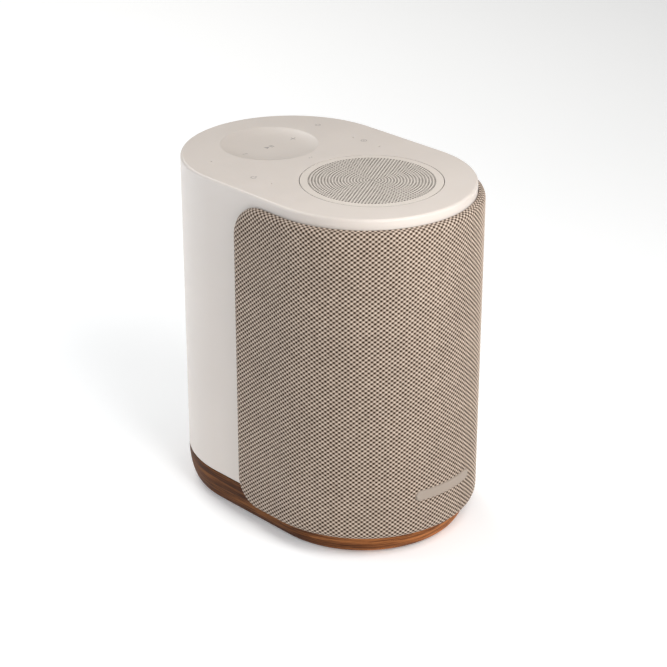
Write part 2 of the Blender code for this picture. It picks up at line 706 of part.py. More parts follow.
def make_woofer():
    basket = make_driver("woofer", (0, BAFFLE_Y, WOOFER_Z), FORWARDS, WOOFER_HOLE)
    front = BAFFLE_Y + SHALLOW_CUT / 2
    cut(basket, cylinders("flange_hole_cutter", WOOFER_SCREW_HOLE, SHALLOW_CUT,
                          woofer_screw_places(front), FORWARDS, 6))
    profile = [(0, 0.0013), (0.0012, 0.0013), (0.0017, 0.0008), (0.0017, 0), (0.0010, 0), (0.0010, -0.005),
               (0, -0.005)]
    for number, centre in enumerate(woofer_screw_places(BAFFLE_Y - 0.0026), 1):
        turned(f"woofer_screw_{number}", profile, centre, FORWARDS, "screw_steel", 8, False)


def make_top_driver():
    make_driver("top_driver", (0, GRILLE_Y, ENCLOSURE_HIGH[2]), UPWARDS, TOP_DRIVER_HOLE)


def make_tweeter():
    origin = (0, BAFFLE_Y, TWEETER_Z)
    turned("tweeter_faceplate", [
        (0.016, 0.0025), (0.016, GAP), (0.0096, GAP), (0.0098, 0.001), (0.012, 0.0025),
    ], origin, FORWARDS, "dark_plastic")
    turned("tweeter_magnet", [
        (0, -0.0004), (0.0077, -0.0004), (0.0077, -0.005), (0.0093, -0.005), (0.0093, -0.0004),
        (0.0113, -0.0004), (0.0113, -0.011), (0, -0.011),
    ], origin, FORWARDS, "magnet_ferrite", closed=False)
    turned("tweeter_dome", dome_profile(0.009, 0.0005, 0.0032, 0.0005), origin, FORWARDS,
           "silk_dome", closed=False)
    turned("tweeter_voice_coil", [
        (0.0088, 0.0001), (0.0088, -0.0042), (0.0082, -0.0042), (0.0082, 0.0001),
    ], origin, FORWARDS, "coil_copper")


# ---------------------------------------------------------------- electronics

def make_main_board():
    board = box("main_board", MAIN_BOARD_LOW, MAIN_BOARD_HIGH, "board_green")
    cut(board, cylinders("main_board_hole_cutter", PIN_HOLE_RADIUS, 0.008,
                         pin_places(MAIN_PIN_X, MAIN_PIN_ZS, MAIN_BOARD_LOW[1] - 0.003), BACKWARDS, 8))
    face = MAIN_BOARD_HIGH[1] + GAP
    box("radio_shield", (SHIELD_LOW[0], face, SHIELD_LOW[1]),
        (SHIELD_HIGH[0], face + SHIELD_THICKNESS, SHIELD_HIGH[1]), "plated_steel")
    sink = box("heat_sink", (SINK_LOW[0], face, SINK_LOW[1]),
               (SINK_HIGH[0], face + SINK_HEIGHT, SINK_HIGH[1]), "aluminium")
    slots = []
    for i in range(SINK_SLOTS):
        left = (i - (SINK_SLOTS - 1) / 2) * SINK_SLOT_PITCH - SINK_SLOT_WIDTH / 2
        slots.append(((left, face + SINK_FLOOR, SINK_LOW[1] - WALL),
                      (left + SINK_SLOT_WIDTH, face + CUT_DEPTH, SINK_HIGH[1] + WALL)))
    cut(sink, boxes("heat_sink_slot_cutter", slots))


def make_power_supply():
    board = box("power_supply_board", POWER_BOARD_LOW, POWER_BOARD_HIGH, "board_green")
    cut(board, cylinders("power_board_hole_cutter", PIN_HOLE_RADIUS, 0.008,
                         pin_places(POWER_PIN_X, POWER_PIN_ZS, POWER_BOARD_LOW[1] - 0.003), BACKWARDS, 8))
    face = POWER_BOARD_HIGH[1] + GAP
    box("mains_transformer", (TRANSFORMER_LOW[0], face, TRANSFORMER_LOW[1]),
        (TRANSFORMER_HIGH[0], face + TRANSFORMER_HEIGHT, TRANSFORMER_HIGH[1]), "transformer_yellow")
    cylinders("bulk_capacitor", CAPACITOR_RADIUS, CAPACITOR_HEIGHT, [(CAPACITOR_X, face, CAPACITOR_Z)],
              BACKWARDS, 20, "capacitor_sleeve")


def make_touch_board():
    """The board under the top, which carries the touch sensor and the microphones."""
    low, high = TOUCH_BOARD_Z
    outline = [(TOUCH_BOARD_RADIUS, TOUCH_BOARD_FRONT)]
    outline += arc((0, REAR_ARC_Y), TOUCH_BOARD_RADIUS, 0, 180, 16)
    outline.append((-TOUCH_BOARD_RADIUS, TOUCH_BOARD_FRONT))
    board = prism("touch_board", outline, low, high, "Z", "board_green")
    half = CAPSULE_WIDTH / 2
    capsules = []
    for x, y in MICROPHONES:
        capsules.append(((x - half, y - half, high - GAP), (x + half, y + half, high + CAPSULE_HEIGHT)))
    join(board, boxes("microphone_shape", capsules))


def make_touch_ribbon():
    """A flat flexible cable that hangs from the touch board to the main board."""
    rise = TOUCH_BOARD_Z[0] - GAP - RIBBON_BOTTOM
    steps = 10
    line = []
    for i in range(steps + 1):
        share = i / steps
        y = RIBBON_BACK_Y + RIBBON_SWAY * (1 - math.cos(math.pi * share))
        line.append((y, RIBBON_BOTTOM + rise * share))
    outline = [(y + RIBBON_HALF_THICKNESS, z) for y, z in line]
    outline += [(y - RIBBON_HALF_THICKNESS, z) for y, z in reversed(line)]
    prism("touch_ribbon", outline, -RIBBON_HALF_WIDTH, RIBBON_HALF_WIDTH, "X", "flex_film")


# ---------------------------------------------------------------- terminals

def inlet_outline(half_size, margin, corner, steps):
    """A rounded rectangle about the inlet's centre, larger than its half-size by a margin."""
    across, up = half_size[0] + margin, half_size[1] + margin
    return rounded_outline((INLET_X - across, INLET_Z - up), (INLET_X + across, INLET_Z + up), corner, steps)


def make_terminal_plate():
    """A tray that lines the niche, with a flange behind the shell's wall."""
    plate = box("rear_terminal_plate", (-0.030, 0.0712, 0.024), (0.030, 0.0734, 0.066), "dark_plastic")
    low = (-NICHE_HALF_WIDTH + GAP, NICHE_BOTTOM + GAP)
    high = (NICHE_HALF_WIDTH - GAP, NICHE_TOP - GAP)
    tray = prism("tray_shape", rounded_outline(low, high, NICHE_CORNER - GAP, 4), 0.072, 0.095, "Y")
    flush = SHELL_RADIUS - GAP
    keep_inside(tray, stadium_loft("tray_limit", [(flush, 0.010), (flush, 0.080)]))
    join(plate, tray)
    pocket_low = (low[0] + TRAY_WALL, low[1] + TRAY_WALL)
    pocket_high = (high[0] - TRAY_WALL, high[1] - TRAY_WALL)
    pocket = rounded_outline(pocket_low, pocket_high, NICHE_CORNER - TRAY_WALL, 4)
    cut_start = PLATE_FACE_Y - SHALLOW_CUT
    cut(plate,
        prism("tray_pocket_cutter", pocket, PLATE_FACE_Y, 0.100, "Y"),
        prism("inlet_hole_cutter", inlet_outline(INLET_HALF_SIZE, GAP, 0.0015, 2), cut_start, 0.085, "Y"),
        cylinders("jack_hole_cutter", JACK_NOSE_RADIUS + GAP, CUT_DEPTH,
                  [(JACK_X, cut_start, JACK_Z)], BACKWARDS, 12),
        cylinders("button_hole_cutter", BUTTON_RADIUS + GAP, CUT_DEPTH,
                  [(JACK_X, cut_start, BUTTON_Z)], BACKWARDS, 20))


def make_mains_inlet():
    """A two-pin inlet: a block with an oblong pocket and a pin on each side of it."""
    outline = inlet_outline(INLET_HALF_SIZE, 0.0, 0.0012, 3)
    inlet = prism("ac_inlet", outline, INLET_BACK_Y, PLATE_FACE_Y - GAP, "Y", "dark_plastic")
    pocket = inlet_outline(INLET_POCKET_HALF_SIZE, 0.0, 0.0041, 6)
    cut(inlet, prism("inlet_pocket_cutter", pocket, INLET_POCKET_BACK_Y, 0.085, "Y"))
    for side, name in ((-1, "inlet_pin_right"), (1, "inlet_pin_left")):
        centre = (INLET_X + side * INLET_PIN_SPACING / 2, INLET_POCKET_BACK_Y + GAP, INLET_Z)
        cylinders(name, INLET_PIN_RADIUS, INLET_PIN_LENGTH, [centre], BACKWARDS, 12, "brass")


def make_jack_and_button():
    """The small board behind the plate, with the audio jack and the pairing switch."""
    box("io_board", (0.0085, IO_BOARD_Y[0], 0.0295), (0.0255, IO_BOARD_Y[1], 0.060), "board_green")
    face = IO_BOARD_Y[1] + GAP
    jack = box("aux_jack", (JACK_X - 0.0045, face, JACK_Z - 0.004),
               (JACK_X + 0.0045, 0.0709, JACK_Z + 0.004), "dark_plastic")
    nose = cylinders("jack_nose_shape", JACK_NOSE_RADIUS, 0.0077, [(JACK_X, 0.070, JACK_Z)], BACKWARDS, 16)
    join(jack, nose)
    bore_start = (JACK_X, face + 0.0016, JACK_Z)
    cut(jack, cylinders("jack_bore_cutter", JACK_BORE_RADIUS, CUT_DEPTH, [bore_start], BACKWARDS, 16))
    box("pairing_switch", (JACK_X - 0.0025, face, BUTTON_Z - 0.0025),
        (JACK_X + 0.0025, 0.0674, BUTTON_Z + 0.0025), "dark_plastic")
    turned("pairing_button", [
        (0, 0.0006), (0.0024, 0.0005), (BUTTON_RADIUS - 0.0003, 0.0003), (BUTTON_RADIUS, 0),
        (BUTTON_RADIUS, -0.0074), (0.0046, -0.0074), (0.0046, -0.0087), (0.0012, -0.0087), (0.0012, -0.0094),
        (0, -0.0094),
    ], (JACK_X, PLATE_FACE_Y, BUTTON_Z), BACKWARDS, "dark_plastic", 20, False)


def make_leads():
    """The leads to the drivers, which pass the grommet side by side, and the mains lead."""
    radius = 0.0007
    wire("woofer_lead", [(-0.004, 0.0308, 0.0590), (-0.0014, 0.0275, 0.0510), (-0.0014, 0.0215, 0.0480),
                         (-0.0014, 0.0120, 0.0480), (-0.0080, -0.0100, 0.0500), (-0.0140, -0.0300, 0.0540),
                         (-0.0145, -0.0370, 0.0545)], radius, "wire_jacket")
    wire("tweeter_lead", [(0.004, 0.0308, 0.0590), (0.0014, 0.0275, 0.0510), (0.0014, 0.0215, 0.0480),
                          (0.0020, 0.0120, 0.0480), (0.0120, 0.0030, 0.0560), (0.0230, -0.0050, 0.0900),
                          (0.0150, -0.0290, 0.1200), (0.0050, -0.0435, 0.1285)], radius, "wire_jacket")
    wire("top_driver_lead", [(0.0, 0.0308, 0.0580), (0.0, 0.0275, 0.0495), (0.0, 0.0240, 0.0466),
                             (0.0, 0.0170, 0.0464), (-0.0020, 0.0110, 0.0450), (-0.0200, 0.0020, 0.0640),
                             (-0.0280, -0.0040, 0.1150), (-0.0160, -0.0140, 0.1450),
                             (-0.0105, -0.0190, 0.1530)], radius, "wire_jacket")
    wire("mains_lead", [(INLET_X, 0.0593, INLET_Z), (INLET_X - 0.001, 0.0570, 0.0430),
                        (-0.0100, 0.0555, 0.0520), (-0.0120, 0.0575, 0.0680),
                        (-0.0120, 0.0600, 0.0780), (-0.0120, 0.0605, 0.0835)],
         0.0012, "wire_jacket")


clear_scene()
PARTS = new_collection("smart_speaker")
CUTTERS = new_collection("cutters")
make_cabinet_shell()
make_top_grille()
make_front_panel()
make_wood_base()
make_base_screws()
make_base_plate()
make_rubber_foot()
make_enclosure()
make_damping_pad()
make_grommet()
make_woofer()
make_tweeter()
make_top_driver()
make_main_board()
make_power_supply()
make_touch_board()
make_touch_ribbon()
make_terminal_plate()
make_mains_inlet()
make_jack_and_button()
make_leads()
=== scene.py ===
"""The looks of the smart speaker: fine shells, woven cloth, wood, a perforated grille and studio light.

Metres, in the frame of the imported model: +Z up, the fabric front faces -Y.
"""

import json
import math

import bmesh
import bpy
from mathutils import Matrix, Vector
from mathutils.geometry import delaunay_2d_cdt


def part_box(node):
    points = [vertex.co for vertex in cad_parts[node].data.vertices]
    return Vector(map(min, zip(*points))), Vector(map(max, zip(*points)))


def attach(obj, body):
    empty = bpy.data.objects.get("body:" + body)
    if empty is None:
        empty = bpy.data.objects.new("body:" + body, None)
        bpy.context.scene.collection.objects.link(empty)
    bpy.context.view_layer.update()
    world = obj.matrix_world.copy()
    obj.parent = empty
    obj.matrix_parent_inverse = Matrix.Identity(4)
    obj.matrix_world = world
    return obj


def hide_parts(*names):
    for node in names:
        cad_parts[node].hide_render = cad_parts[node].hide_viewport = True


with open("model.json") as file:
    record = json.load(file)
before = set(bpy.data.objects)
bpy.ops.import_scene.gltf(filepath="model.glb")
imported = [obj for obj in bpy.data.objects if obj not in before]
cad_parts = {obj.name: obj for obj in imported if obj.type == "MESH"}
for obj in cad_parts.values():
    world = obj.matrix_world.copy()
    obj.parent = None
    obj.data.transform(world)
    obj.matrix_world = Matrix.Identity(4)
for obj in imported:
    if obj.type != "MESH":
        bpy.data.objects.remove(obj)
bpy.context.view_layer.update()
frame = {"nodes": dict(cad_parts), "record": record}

MM = 0.001

# ---------------------------------------------------------------- sizes, from the frame and then in detail

SHELL_LOW, SHELL_HIGH = (Vector(corner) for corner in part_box("cabinet_shell"))
FABRIC_LOW, FABRIC_HIGH = (Vector(corner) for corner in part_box("front_fabric"))
WOOD_LOW, WOOD_HIGH = (Vector(corner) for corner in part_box("wood_base"))
FOOT_HIGH = Vector(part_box("rubber_foot")[1])
GRILLE_LOW, GRILLE_HIGH = (Vector(corner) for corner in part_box("top_grille"))
BADGE_LOW, BADGE_HIGH = (Vector(corner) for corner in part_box("front_badge"))

SHELL_RADIUS = SHELL_HIGH.x
FRONT_ARC_Y = SHELL_LOW.y + SHELL_RADIUS
REAR_ARC_Y = SHELL_HIGH.y - SHELL_RADIUS
TOP = SHELL_HIGH.z
WALL = 3 * MM
RIM_ROUNDING = 1.5 * MM
SHELL_LIP = 0.4 * MM
ARC_STEPS = 72
WINDOW_LOW = (-100 * MM, 24 * MM)
WINDOW_HIGH = (2 * MM, 176 * MM)
WINDOW_CORNER = 8 * MM
NICHE_LOW = (-26.3 * MM, 27.7 * MM)
NICHE_HIGH = (26.3 * MM, 62.3 * MM)
NICHE_CORNER = 4 * MM

FABRIC_RADIUS = FABRIC_HIGH.x
PANEL_EDGE_Y = FABRIC_HIGH.y
PANEL_CORNER = 15.5 * MM
PANEL_TOP_CORNER = 18.5 * MM
PANEL_ROLL = 3.8 * MM
CELL_WIDTH = 2.9 * MM
CELL_HEIGHT = 2.4 * MM
RELIEF = 0.32 * MM

GRILLE_CENTRE = (GRILLE_LOW + GRILLE_HIGH) / 2
GRILLE_RADIUS = (GRILLE_HIGH.x - GRILLE_LOW.x) / 2
HOLE_RINGS = 20
HOLE_PITCH = 1.58 * MM
HOLE_RADIUS = 0.6 * MM
PLATE_THICKNESS = 0.8 * MM
GRILLE_LEDGE_RADIUS = 33 * MM
SEAT_GAP = 0.22 * MM
THROAT_RADIUS = 33.5 * MM

DISH_CENTRE = Vector((0.0, REAR_ARC_Y + 16.3 * MM, TOP))
DISH_RADIUS = 26.2 * MM
DISH_DEPTH = 2.2 * MM
MICROPHONES = ((-40.2, 45.75), (-39.4, 1.15), (37.7, 21.5), (37.9, 2.1))
PORT_RADIUS = 0.5 * MM

WOOD_FOOT_RADIUS = 51.6 * MM
WOOD_ROUNDING = 0.5 * MM
WOOD_CURVE_ANGLE = math.radians(80)
WOOD_POCKET_RADIUS = 49 * MM
WOOD_POCKET_FLOOR = 9.5 * MM
SCREW_HOLE_RADIUS = 2.2 * MM
SCREW_HEAD_RADIUS = 4.2 * MM
SCREW_HEAD_TOP = 4.8 * MM
FOOT_GAP = 0.3 * MM


# ---------------------------------------------------------------- placing, camera

def place_at(name, data, azimuth, elevation, distance, target):
    """A camera or a lamp at this angle and distance from its target, looking at it."""
    azimuth, elevation = math.radians(azimuth), math.radians(elevation)
    back = Vector((math.sin(azimuth) * math.cos(elevation), -math.cos(azimuth) * math.cos(elevation),
                   math.sin(elevation)))
    placed = bpy.data.objects.new(name, data)
    placed.location = target + back * distance
    placed.rotation_euler = back.to_track_quat("Z", "Y").to_euler()
    bpy.context.scene.collection.objects.link(placed)
    return placed


def make_camera():
    """A long lens from the front left, a little above the speaker."""
    data = bpy.data.cameras.new("camera")
    data.lens = 107.25
    data.sensor_width = 36.0
    data.shift_x = 0.0102
    data.shift_y = -0.0181
    data.clip_start = 0.01
    data.clip_end = 50.0
    target = Vector((0.0, (FRONT_ARC_Y + REAR_ARC_Y) / 2, 97.6 * MM))
    bpy.context.scene.camera = place_at("camera", data, -43.94, 24.88, 1.048, target)


# ---------------------------------------------------------------- material tools

class Look:
    """A node material with short calls for the nodes used here."""

    def __init__(self, name, colour, roughness, metallic=0.0):
        self.material = bpy.data.materials.new(name)
        self.material.use_nodes = True
        self.tree = self.material.node_tree
        self.shader = self.tree.nodes["Principled BSDF"]
        self.set("Base Color", (*colour, 1.0))
        self.set("Roughness", roughness)
        self.set("Metallic", metallic)
        self.height = None

    def set(self, socket, value):
        self.shader.inputs[socket].default_value = value

    def node(self, kind, **values):
        made = self.tree.nodes.new(kind)
        for key, value in values.items():
            setattr(made, key, value)
        return made

    def link(self, source, target):
        self.tree.links.new(source, target)

    def feed(self, source, socket):
        self.link(source, self.shader.inputs[socket])

    def place(self, scale=(1.0, 1.0, 1.0)):
        """Object coordinates, in metres times a scale."""
        coordinates = self.node("ShaderNodeTexCoord")
        mapping = self.node("ShaderNodeMapping")
        mapping.inputs["Scale"].default_value = scale
        self.link(coordinates.outputs["Object"], mapping.inputs["Vector"])
        return mapping.outputs["Vector"]

    def noise(self, scale, detail=3.0, roughness=0.55, stretch=(1.0, 1.0, 1.0), distortion=0.0):
        made = self.node("ShaderNodeTexNoise")
        made.inputs["Scale"].default_value = scale
        made.inputs["Detail"].default_value = detail
        made.inputs["Roughness"].default_value = roughness
        made.inputs["Distortion"].default_value = distortion
        self.link(self.place(stretch), made.inputs["Vector"])
        return made.outputs["Fac"]

    def ramp(self, source, *stops):
        made = self.node("ShaderNodeValToRGB")
        self.link(source, made.inputs["Fac"])
        elements = made.color_ramp.elements
        while len(elements) < len(stops):
            elements.new(0.5)
        for element, (position, colour) in zip(elements, stops):
            element.position = position
            element.color = (*colour, 1.0)
        return made.outputs["Color"]

    def spread(self, source, low, high, start=0.3, end=0.7):
        made = self.node("ShaderNodeMapRange")
        for socket, value in zip(("From Min", "From Max", "To Min", "To Max"), (start, end, low, high)):
            made.inputs[socket].default_value = value
        self.link(source, made.inputs["Value"])
        return made.outputs["Result"]

    def math(self, operation, first, second=None, third=None):
        made = self.node("ShaderNodeMath", operation=operation)
        for socket, value in zip(made.inputs, (first, second, third)):
            if value is None:
                continue
            if isinstance(value, (int, float)):
                socket.default_value = value
            else:
                self.link(value, socket)
        return made.outputs["Value"]

    def mix(self, factor, first, second, kind="MIX"):
        made = self.node("ShaderNodeMix", data_type="RGBA", blend_type=kind)
        for socket, value in ((made.inputs[0], factor), (made.inputs[6], first), (made.inputs[7], second)):
            if isinstance(value, (int, float)):
                socket.default_value = value
            elif isinstance(value, tuple):
                socket.default_value = (*value, 1.0)
            else:
                self.link(value, socket)
        return made.outputs[2]

    def bump(self, source, distance, strength=1.0):
        """Adds a bump of this height in metres, on top of any before it."""
        made = self.node("ShaderNodeBump")
        made.inputs["Strength"].default_value = strength
        made.inputs["Distance"].default_value = distance
        self.link(source, made.inputs["Height"])
        if self.height:
            self.link(self.height, made.inputs["Normal"])
        self.height = made.outputs["Normal"]
        self.feed(self.height, "Normal")


def shade(colour, factor):
    return tuple(min(1.0, channel * factor) for channel in colour)


def grained(name, colour, roughness, grain=2600.0, depth=0.00002, metallic=0.0, change=0.06):
    """Moulded or cast material: fine grain, faint blotches and uneven gloss."""
    look = Look(name, colour, roughness, metallic)
    blotch = look.noise(28.0, 4.0)
    mottled = look.ramp(blotch, (0.35, shade(colour, 1 - change)), (0.65, shade(colour, 1 + change)))
    look.feed(mottled, "Base Color")
    fine = look.noise(grain, 2.0)
    look.feed(look.spread(look.noise(110.0, 5.0), roughness * 0.88, min(1.0, roughness * 1.12)), "Roughness")
    look.bump(fine, depth)
    return look


# ---------------------------------------------------------------- materials

def white_shell():
    """Satin moulded plastic in a warm white, with painted shade darkening the finger dish."""
    look = grained("white_shell", (0.60, 0.540, 0.492), 0.42, 3200.0, 0.000006, change=0.012)
    plain = look.shader.inputs["Base Color"].links[0].from_socket
    away = look.node("ShaderNodeVectorMath", operation="DISTANCE")
    look.link(look.place((1.0, 1.0, 0.0)), away.inputs[0])
    away.inputs[1].default_value = (DISH_CENTRE.x, DISH_CENTRE.y, 0.0)
    # painted shade: inside the finger dish's radius the colour is mixed 7 % towards a dark brown, standing in
    # for the shade in the dish
    dish = look.spread(away.outputs["Value"], 0.07, 0.0, DISH_RADIUS - 0.8 * MM, DISH_RADIUS)
    look.feed(look.mix(dish, plain, (0.20, 0.165, 0.12)), "Base Color")
    look.set("Specular IOR Level", 0.45)
    look.set("Subsurface Weight", 0.06)
    look.set("Subsurface Radius", (0.004, 0.003, 0.002))
    look.set("Subsurface Scale", 0.4)
    return look.material


def white_grille():
    """Satin paint on the face of a perforated sheet, with painted shade making the walls inside its holes
    dark.
    """
    look = grained("white_grille", (0.60, 0.540, 0.485), 0.46, 3600.0, 0.000008, change=0.012)
    painted = look.shader.inputs["Base Color"].links[0].from_socket
    height = look.node("ShaderNodeSeparateXYZ")
    look.link(look.place(), height.inputs["Vector"])
    # painted shade: below the painted face the hole walls are dark brown, standing in for the shade inside
    # the holes
    face = look.math("GREATER_THAN", height.outputs["Z"], TOP - 0.06 * MM)
    look.feed(look.mix(face, (0.15, 0.13, 0.112), painted), "Base Color")
    return look.material


SHADE_DROP = 0.07   # how far the shade lies below its pit, in cells


def weave_pits(look, low=0.0):
    """The weave from its cell coordinates: 1 in the pits, 0 on the net between them, -1 on its knots."""
    cells = look.node("ShaderNodeUVMap", uv_map="weave")
    split = look.node("ShaderNodeSeparateXYZ")
    look.link(cells.outputs["UV"], split.inputs["Vector"])
    across = look.math("COSINE", look.math("MULTIPLY", split.outputs["X"], math.tau))
    up = look.math("COSINE", look.math("MULTIPLY", look.math("ADD", split.outputs["Y"], low), math.tau))
    return look.math("MULTIPLY", across, up)


def woven_cloth():
    """Open weave: a beige net whose pale knots are painted highlights, round dark brown pits with painted
    shade below each, with uneven yarns and fine fibres.
    """
    look = Look("woven_cloth", (0.3, 0.23, 0.18), 0.9)
    pits = weave_pits(look)
    shaded = weave_pits(look, SHADE_DROP)
    uneven = look.math("MULTIPLY_ADD", look.noise(430.0, 2.0), 0.5, -0.25)
    level = look.math("MULTIPLY_ADD", look.math("ADD", shaded, uneven), -0.5, 0.5)
    # painted highlight and painted shade: the ramp paints the knots pale as highlights and the pits dark
    # brown, darkest just below each pit where the shade falls
    colour = look.ramp(level, (0.04, (0.018, 0.009, 0.004)), (0.22, (0.055, 0.034, 0.021)),
                       (0.42, (0.235, 0.173, 0.130)), (0.70, (0.45, 0.356, 0.285)),
                       (0.98, (0.64, 0.54, 0.455)))
    patches = look.ramp(look.noise(55.0, 3.0), (0.35, (0.93, 0.93, 0.93)), (0.65, (1.0, 1.0, 1.0)))
    look.feed(look.mix(1.0, colour, patches, "MULTIPLY"), "Base Color")
    look.bump(look.math("SUBTRACT", 1.0, pits), 0.00025, 0.7)
    fibres = look.noise(5200.0, 3.0, 0.6, (1.0, 1.0, 0.45))
    look.bump(fibres, 0.00004, 0.7)
    look.set("Specular IOR Level", 0.18)
    look.set("Sheen Weight", 0.06)
    look.set("Sheen Roughness", 0.55)
    return look.material


def walnut():
    """Oiled walnut: level dark streaks and fine pores, with painted light making it redder and lighter
    towards the front.
    """
    look = Look("walnut", (0.12, 0.05, 0.022), 0.55)
    bands = look.noise(30.0, 5.0, 0.6, (0.4, 0.4, 8.0), 0.5)
    streaks = look.noise(190.0, 5.0, 0.65, (0.22, 0.22, 6.5), 0.35)
    pores = look.noise(420.0, 3.0, 0.6, (0.12, 0.12, 6.0))
    base = look.ramp(bands, (0.34, (0.075, 0.025, 0.008)), (0.50, (0.155, 0.056, 0.017)),
                     (0.68, (0.250, 0.098, 0.031)))
    tone = look.ramp(streaks, (0.43, (0.34, 0.30, 0.28)), (0.54, (1.0, 1.0, 1.0)))
    grain = look.mix(1.0, base, tone, "MULTIPLY")
    dark = look.ramp(pores, (0.33, (0.6, 0.56, 0.54)), (0.43, (1.0, 1.0, 1.0)))
    along = look.node("ShaderNodeSeparateXYZ")
    look.link(look.place(), along.inputs["Vector"])
    # painted light: the grain colour is scaled up 2.6 times at the front and down to 0.85 behind, standing in
    # for the light on the front
    front = look.spread(along.outputs["Y"], 2.6, 0.85, -82 * MM, -25 * MM)
    painted_front_light = look.node("ShaderNodeVectorMath", operation="SCALE")
    look.link(look.mix(1.0, grain, dark, "MULTIPLY"), painted_front_light.inputs[0])
    look.link(front, painted_front_light.inputs["Scale"])
    look.feed(painted_front_light.outputs["Vector"], "Base Color")
    look.feed(look.spread(streaks, 0.50, 0.70), "Roughness")
    look.bump(streaks, 0.00010, 0.5)
    look.bump(pores, 0.00005, 0.6)
    look.set("Specular IOR Level", 0.10)
    return look.material


def circuit_board():
    """Green solder mask with fine tracks and bright pads."""
    look = Look("circuit_board", (0.012, 0.10, 0.045), 0.42)
    bricks = look.node("ShaderNodeTexBrick")
    look.link(look.place((1.0, 1.0, 1.0)), bricks.inputs["Vector"])
    bricks.inputs["Scale"].default_value = 160.0
    bricks.inputs["Mortar Size"].default_value = 0.018
    bricks.inputs["Brick Width"].default_value = 0.9
    bricks.inputs["Row Height"].default_value = 0.35
    bricks.inputs["Color1"].default_value = (0.010, 0.085, 0.036, 1.0)
    bricks.inputs["Color2"].default_value = (0.016, 0.125, 0.055, 1.0)
    bricks.inputs["Mortar"].default_value = (0.06, 0.24, 0.10, 1.0)
    look.feed(bricks.outputs["Color"], "Base Color")
    look.feed(look.spread(look.noise(160.0), 0.34, 0.5), "Roughness")
    look.bump(bricks.outputs["Fac"], 0.00003, 0.5)
    return look.material


def brushed(name, colour, roughness, stretch):
    """Metal with fine scratches along one direction."""
    look = Look(name, colour, roughness, 1.0)
    lines = look.noise(900.0, 4.0, 0.6, stretch)
    look.feed(look.ramp(lines, (0.3, shade(colour, 0.82)), (0.7, shade(colour, 1.08))), "Base Color")
    look.feed(look.spread(lines, roughness * 0.75, roughness * 1.25), "Roughness")
    look.bump(lines, 0.00002, 0.5)
    return look.material


def wound_copper():
    """Enamelled wire wound in level turns."""
    look = Look("wound_copper", (0.62, 0.26, 0.12), 0.32, 1.0)
    turns = look.noise(60.0, 1.0, 0.5, (0.2, 30.0, 0.2))
    look.feed(look.ramp(turns, (0.35, (0.34, 0.12, 0.05)), (0.6, (0.72, 0.32, 0.16))), "Base Color")
    look.feed(look.spread(turns, 0.24, 0.42), "Roughness")
    look.bump(turns, 0.00008, 0.8)
    return look.material


def fibrous(name, colour, scale, depth, roughness=0.9):
    """Paper, wadding or cloth made of tangled fibres."""
    look = Look(name, colour, roughness)
    fibres = look.noise(scale, 6.0, 0.7, distortion=1.2)
    look.feed(look.ramp(fibres, (0.3, shade(colour, 0.62)), (0.7, shade(colour, 1.25))), "Base Color")
    look.feed(look.spread(fibres, roughness * 0.9, min(1.0, roughness * 1.08)), "Roughness")
    look.bump(fibres, depth, 0.8)
    return look.material


def slot_materials():
    """One finished material for each of the record's slots."""
    return {
        "white_shell": white_shell(),
        "white_grille": white_grille(),
        "beige_fabric": woven_cloth(),
        "badge": grained("badge_finish", (0.30, 0.245, 0.20), 0.55, 3000.0, 0.00001, change=0.03).material,
        "walnut": walnut(),
        "dark_plastic": grained("dark_plastic", (0.022, 0.021, 0.020), 0.55, 2000.0, 0.00003).material,
        "enclosure_plastic": grained("enclosure_plastic", (0.045, 0.045, 0.047), 0.6, 1800.0,
                                     0.00004).material,
        "foot_rubber": grained("foot_rubber", (0.028, 0.027, 0.026), 0.82, 1500.0, 0.00008).material,
        "soft_rubber": grained("soft_rubber", (0.018, 0.018, 0.018), 0.7, 2200.0, 0.00002).material,
        "wadding": fibrous("wadding", (0.62, 0.62, 0.58), 700.0, 0.0004),
        "cone_paper": fibrous("cone_paper", (0.045, 0.045, 0.045), 1400.0, 0.00006, 0.8),
        "spider_cloth": fibrous("spider_cloth", (0.46, 0.28, 0.10), 1800.0, 0.00008),
        "silk_dome": fibrous("silk_dome", (0.06, 0.052, 0.05), 3000.0, 0.00003, 0.62),
        "coil_copper": wound_copper(),
        "magnet_ferrite": grained("magnet_ferrite", (0.06, 0.06, 0.064), 0.5, 1200.0, 0.00004, 0.3).material,
        "plated_steel": brushed("plated_steel", (0.55, 0.55, 0.56), 0.34, (1.0, 0.12, 1.0)),
        "screw_steel": brushed("screw_steel", (0.16, 0.16, 0.17), 0.4, (1.0, 1.0, 0.2)),
        "aluminium": brushed("aluminium", (0.68, 0.68, 0.70), 0.36, (1.0, 1.0, 0.08)),
        "board_green": circuit_board(),
        "transformer_yellow": grained("transformer_yellow", (0.55, 0.42, 0.06), 0.5, 900.0, 0.00005).material,
        "capacitor_sleeve": grained("capacitor_sleeve", (0.02, 0.035, 0.10), 0.35, 2400.0, 0.00001).material,
        "flex_film": grained("flex_film", (0.50, 0.24, 0.05), 0.38, 1600.0, 0.00001).material,
        "wire_jacket": grained("wire_jacket", (0.30, 0.016, 0.014), 0.45, 2600.0, 0.00001).material,
        "brass": brushed("brass", (0.78, 0.56, 0.24), 0.28, (1.0, 0.1, 1.0)),
    }


def dress_cad_nodes(materials):
    """Gives every CAD node the finished material of its slot."""
    for row in frame["record"]["subparts"]:
        node = frame["nodes"][row["node"]]
        node.data.materials.clear()
        node.data.materials.append(materials[row["material_slot"]])


# ---------------------------------------------------------------- mesh tools

